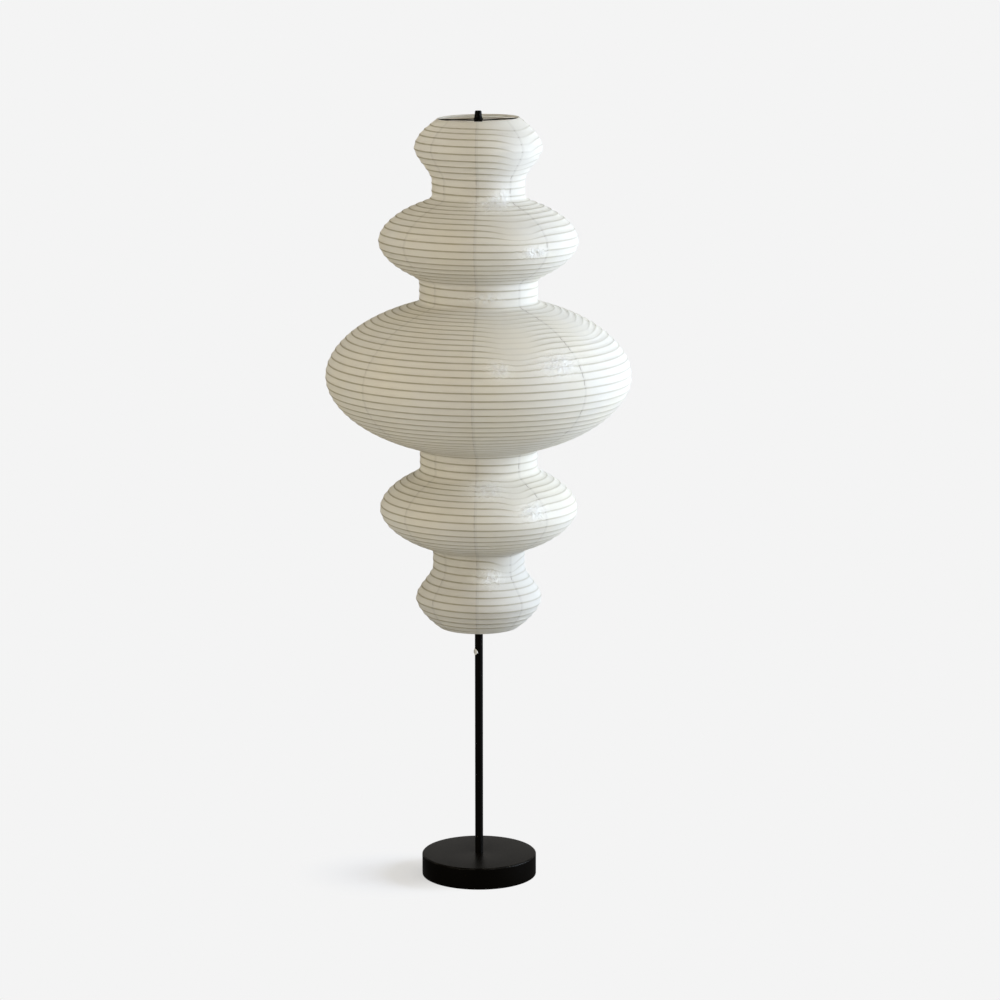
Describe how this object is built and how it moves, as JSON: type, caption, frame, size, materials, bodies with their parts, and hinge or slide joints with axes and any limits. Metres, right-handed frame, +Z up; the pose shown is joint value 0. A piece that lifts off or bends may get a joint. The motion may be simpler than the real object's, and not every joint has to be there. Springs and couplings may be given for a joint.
{
  "type": "paper lantern floor lamp",
  "caption": "Floor lamp: a tall five-tier ribbed paper lantern hung on a slim black pole over a round weighted base, with upright bulbs inside.",
  "frame": {"origin": "middle of the base's resting face, on the floor", "axes": "+Z up along the pole; -Y towards the viewer of the picture; +X to the viewer's right"},
  "size_m": [0.5997, 0.5996, 1.5312],
  "materials": {
    "black_powder_coat": "satin fine-texture powder coat",
    "black_pole": "satin black lacquer",
    "cast_concrete": "cast, rough",
    "zinc_plate": "zinc-plated",
    "fastener_steel": "zinc-plated",
    "foot_rubber": "matt",
    "pale_grommet": "smooth, pale grey",
    "splice_sleeve": "heat-shrunk sleeve",
    "lead_jacket": "smooth",
    "holder_plastic": "moulded",
    "contact_brass": "bright",
    "cap_metal": "rolled thread",
    "opal_glass": "opal, frosted",
    "lantern_paper": "matt laid paper, slightly translucent, glued in eight gores",
    "rib_wire_steel": "fine drawn wire",
    "mouth_wire_steel": "dark lacquered wire"
  },
  "bodies": {
    "root": {"base_cover": "black_powder_coat", "base_weight": "cast_concrete", "base_plate": "zinc_plate", "base_plate_screws": "fastener_steel", "base_feet": "foot_rubber", "foot_bolt": "fastener_steel", "foot_washer": "fastener_steel", "foot_plug": "zinc_plate", "pole_lower": "black_pole", "pole_middle": "black_pole", "pole_upper": "black_pole", "coupler_lower": "zinc_plate", "coupler_upper": "zinc_plate", "top_stud": "black_pole", "cord_grommet": "pale_grommet", "lead_splice": "splice_sleeve", "inner_leads": "lead_jacket", "arm_nuts": "fastener_steel", "holder_arm_upper": "black_pole", "holder_cup_upper": "black_pole", "lampholder_upper": "holder_plastic", "thread_sleeve_upper": "contact_brass", "contact_upper": "contact_brass", "holder_arm_middle": "black_pole", "holder_cup_middle": "black_pole", "lampholder_middle": "holder_plastic", "thread_sleeve_middle": "contact_brass", "contact_middle": "contact_brass", "holder_arm_lower": "black_pole", "holder_cup_lower": "black_pole", "lampholder_lower": "holder_plastic", "thread_sleeve_lower": "contact_brass", "contact_lower": "contact_brass"},
    "lantern": {"paper_gore_1": "lantern_paper", "paper_gore_2": "lantern_paper", "paper_gore_3": "lantern_paper", "paper_gore_4": "lantern_paper", "paper_gore_5": "lantern_paper", "paper_gore_6": "lantern_paper", "paper_gore_7": "lantern_paper", "paper_gore_8": "lantern_paper", "rib_wire": "rib_wire_steel", "top_ring": "mouth_wire_steel", "top_strap": "black_pole"},
    "lower_mouth": {"bottom_ring": "mouth_wire_steel"},
    "finial_body": {"finial": "black_pole"},
    "bulb_upper": {"bulb_cap_upper": "cap_metal", "bulb_glass_upper": "opal_glass"},
    "bulb_middle": {"bulb_cap_middle": "cap_metal", "bulb_glass_middle": "opal_glass"},
    "bulb_lower": {"bulb_cap_lower": "cap_metal", "bulb_glass_lower": "opal_glass"}
  },
  "joints": [
    {"name": "lantern_swivel", "type": "hinge", "parent": "root", "child": "lantern", "pos_m": [0, 0, 1.513], "axis": [0, 0, 1], "continuous": true},
    {"name": "lantern_collapse", "type": "slide", "parent": "lantern", "child": "lower_mouth", "axis": [0, 0, 1], "range_m": [0, 0.9], "deforming": ["paper_gore_1", "paper_gore_2", "paper_gore_3", "paper_gore_4", "paper_gore_5", "paper_gore_6", "paper_gore_7", "paper_gore_8", "rib_wire"]},
    {"name": "finial_turn", "type": "hinge", "parent": "root", "child": "finial_body", "pos_m": [0, 0, 1.5147], "axis": [0, 0, 1], "range_deg": [0, 4320]},
    {"name": "bulb_upper_turn", "type": "hinge", "parent": "root", "child": "bulb_upper", "pos_m": [0.042, 0, 1.2805], "axis": [0, 0, 1], "range_deg": [0, 1080]},
    {"name": "bulb_middle_turn", "type": "hinge", "parent": "root", "child": "bulb_middle", "pos_m": [-0.042, 0, 1.0164], "axis": [0, 0, 1], "range_deg": [0, 1080]},
    {"name": "bulb_lower_turn", "type": "hinge", "parent": "root", "child": "bulb_lower", "pos_m": [0.042, 0, 0.7524], "axis": [0, 0, 1], "range_deg": [0, 1080]}
  ]
}
